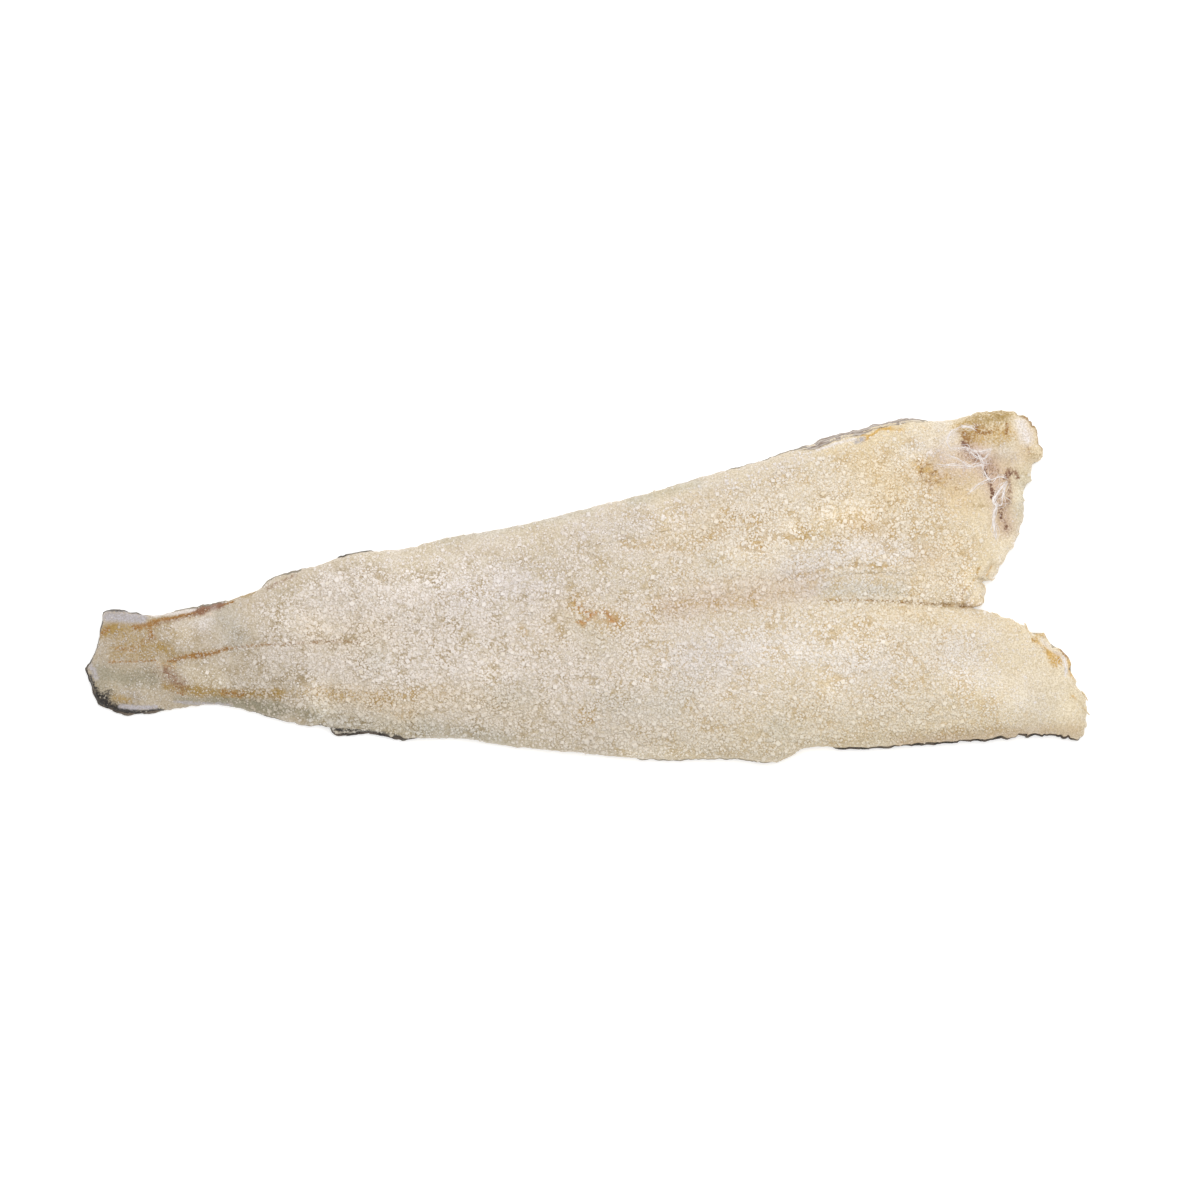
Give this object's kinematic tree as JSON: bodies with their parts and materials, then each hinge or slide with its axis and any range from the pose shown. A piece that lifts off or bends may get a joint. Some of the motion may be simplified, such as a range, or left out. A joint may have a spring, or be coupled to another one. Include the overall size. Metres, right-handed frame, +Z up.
{
  "type": "salted dried cod",
  "caption": "Whole salted and dried cod, headless and split flat, lying skin down with its salt-crusted flesh up and its two lobes joined at the tail.",
  "frame": {"origin": "middle of the underside of the bounding box", "axes": "+X from the tail to the head end, +Y towards the lobe that keeps its nape, +Z up from the skin to the flesh"},
  "size_m": [0.551, 0.1934, 0.0303],
  "materials": {
    "flesh": "dry, fibrous and matte",
    "salt": "rough and slightly translucent",
    "skin": "dry and finely scaled",
    "membrane": "smooth and parchment-like"
  },
  "bodies": {
    "root": {"salt_cod": "flesh"}
  },
  "joints": []
}
